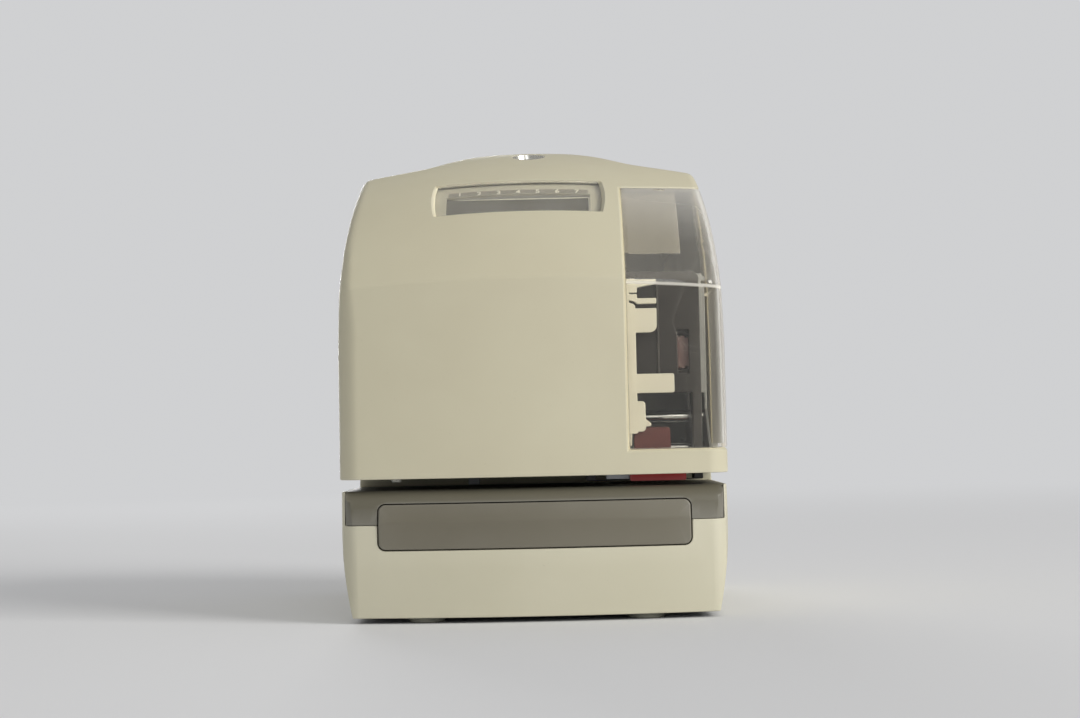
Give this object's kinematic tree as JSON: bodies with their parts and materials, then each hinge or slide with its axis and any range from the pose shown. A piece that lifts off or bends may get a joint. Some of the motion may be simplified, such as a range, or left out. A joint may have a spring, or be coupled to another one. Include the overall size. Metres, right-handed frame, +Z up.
{
  "type": "time stamp machine",
  "caption": "Desktop time stamp machine with a lift-off cover, smoked side window, display lens, key lock, open paper slot and wide push bar.",
  "frame": {"origin": "on the surface that the machine stands on, at the middle of its outline", "axes": "+X to the machine's right seen from the front, +Y to its rear, +Z up"},
  "size_m": [0.166, 0.19, 0.2121],
  "materials": {
    "cream_plastic": "moulded, fine grain",
    "grey_plastic": "moulded, fine grain",
    "smoked_pane": "polished, clear",
    "clear_lens": "polished, clear",
    "housing_grey": "moulded",
    "mask_grey": "printed",
    "display_glass": "glossy",
    "white_plastic": "moulded",
    "cassette_plastic": "moulded",
    "wheel_plastic": "moulded",
    "red_plastic": "moulded",
    "black_plastic": "moulded",
    "button_grey": "moulded",
    "lever_grey": "moulded",
    "plunger_red": "moulded",
    "pulley_white": "moulded",
    "sheet_steel": "zinc plated",
    "bottom_sheet": "semi matt paint",
    "bracket_grey": "moulded",
    "screw_steel": "zinc plated",
    "rod_steel": "ground",
    "lock_metal": "plated",
    "cam_steel": "plated",
    "nut_brass": "turned",
    "spring_steel": "drawn",
    "motor_metal": "pressed",
    "head_metal": "cast",
    "foot_rubber": "matt",
    "platen_rubber": "matt",
    "belt_rubber": "matt",
    "board_green": "lacquered",
    "chip_black": "moulded",
    "battery_blue": "sleeved",
    "flex_white": "film",
    "ribbon_cloth": "inked"
  },
  "bodies": {
    "base": {"base_shell": "cream_plastic", "bottom_plate": "bottom_sheet", "bottom_screws": "screw_steel", "rubber_feet": "foot_rubber", "paper_table": "grey_plastic", "platen_pad": "platen_rubber", "bar_springs": "spring_steel", "bar_bracket": "bracket_grey", "bar_switch": "black_plastic", "power_inlet": "black_plastic", "power_board": "board_green", "left_side_plate": "sheet_steel", "right_side_plate": "sheet_steel", "slot_ceiling": "sheet_steel", "rear_tie_plate": "sheet_steel", "roof_plate": "sheet_steel", "lock_catch": "sheet_steel", "chassis_screws": "screw_steel", "print_frame": "sheet_steel", "guide_rods": "rod_steel", "head_cable": "flex_white", "motor_bracket": "sheet_steel", "carriage_motor": "motor_metal", "idler_post": "sheet_steel", "drive_belt": "belt_rubber", "ribbon_bracket": "white_plastic", "ribbon_cassette": "cassette_plastic", "ribbon_motor": "motor_metal", "ink_ribbon": "ribbon_cloth", "ribbon_mask": "red_plastic", "lever_ears": "sheet_steel", "lever_pin": "rod_steel", "lever_sensor": "black_plastic", "paper_sensor": "white_plastic", "display_housing": "housing_grey", "display_mask": "mask_grey", "display_panel": "display_glass", "button_board": "board_green", "main_board": "board_green", "board_parts": "chip_black", "backup_battery": "battery_blue"},
    "cover": {"cover_shell": "cream_plastic", "side_window": "smoked_pane", "window_screws": "screw_steel", "display_lens": "clear_lens", "lock_body": "lock_metal", "lock_nut": "nut_brass"},
    "lock": {"lock_plug": "lock_metal", "lock_cam": "cam_steel"},
    "bar": {"push_bar": "grey_plastic", "switch_plunger": "plunger_red"},
    "carriage": {"print_carriage": "black_plastic", "print_head": "head_metal"},
    "motor_pulley": {"motor_pulley": "pulley_white"},
    "idler_pulley": {"idler_pulley": "pulley_white"},
    "ribbon_wheel": {"ribbon_wheel": "wheel_plastic"},
    "lever": {"paper_lever": "lever_grey"},
    "button_1": {"setting_button_1": "button_grey"},
    "button_2": {"setting_button_2": "button_grey"},
    "button_3": {"setting_button_3": "button_grey"}
  },
  "joints": [
    {"name": "cover_lift", "type": "slide", "parent": "base", "child": "cover", "axis": [0, 0, 1], "range_m": [0, 0.155]},
    {"name": "lock_turn", "type": "hinge", "parent": "cover", "child": "lock", "pos_m": [0, -0.018, 0.20696], "axis": [0, -0.2874, 0.9578], "range_deg": [0, 90]},
    {"name": "bar_press", "type": "slide", "parent": "base", "child": "bar", "axis": [0, 1, 0], "range_m": [0, 0.0025], "stiffness_N_per_m": 400, "springref_m": -0.004, "deforming": ["bar_springs"]},
    {"name": "carriage_slide", "type": "slide", "parent": "base", "child": "carriage", "axis": [1, 0, 0], "range_m": [0, 0.023], "deforming": ["head_cable"]},
    {"name": "motor_pulley_turn", "type": "hinge", "parent": "base", "child": "motor_pulley", "pos_m": [0.016, -0.03697, 0.07], "axis": [0, 0, 1], "range_deg": [0, 238]},
    {"name": "idler_pulley_turn", "type": "hinge", "parent": "base", "child": "idler_pulley", "pos_m": [0.0676, -0.03697, 0.07], "axis": [0, 0, 1], "range_deg": [0, 238]},
    {"name": "ribbon_wheel_turn", "type": "hinge", "parent": "base", "child": "ribbon_wheel", "pos_m": [0.0638, -0.0695, 0.1127], "axis": [0, 1, 0], "continuous": true},
    {"name": "lever_turn", "type": "hinge", "parent": "base", "child": "lever", "pos_m": [-0.0265, -0.052, 0.068], "axis": [1, 0, 0], "range_deg": [0, 25], "stiffness_Nm_per_rad": 0.002, "springref_deg": -17.19},
    {"name": "setting_button_1_press", "type": "slide", "parent": "base", "child": "button_1", "axis": [0, 0.7986, -0.6018], "range_m": [0, 0.0008], "stiffness_N_per_m": 500, "springref_m": -0.001},
    {"name": "setting_button_2_press", "type": "slide", "parent": "base", "child": "button_2", "axis": [0, 0.7986, -0.6018], "range_m": [0, 0.0008], "stiffness_N_per_m": 500, "springref_m": -0.001},
    {"name": "setting_button_3_press", "type": "slide", "parent": "base", "child": "button_3", "axis": [0, 0.7986, -0.6018], "range_m": [0, 0.0008], "stiffness_N_per_m": 500, "springref_m": -0.001}
  ],
  "couplings": [
    {"joint": "motor_pulley_turn", "follows": "carriage_slide", "rad_per_m": 180.18},
    {"joint": "idler_pulley_turn", "follows": "carriage_slide", "rad_per_m": 180.18}
  ]
}
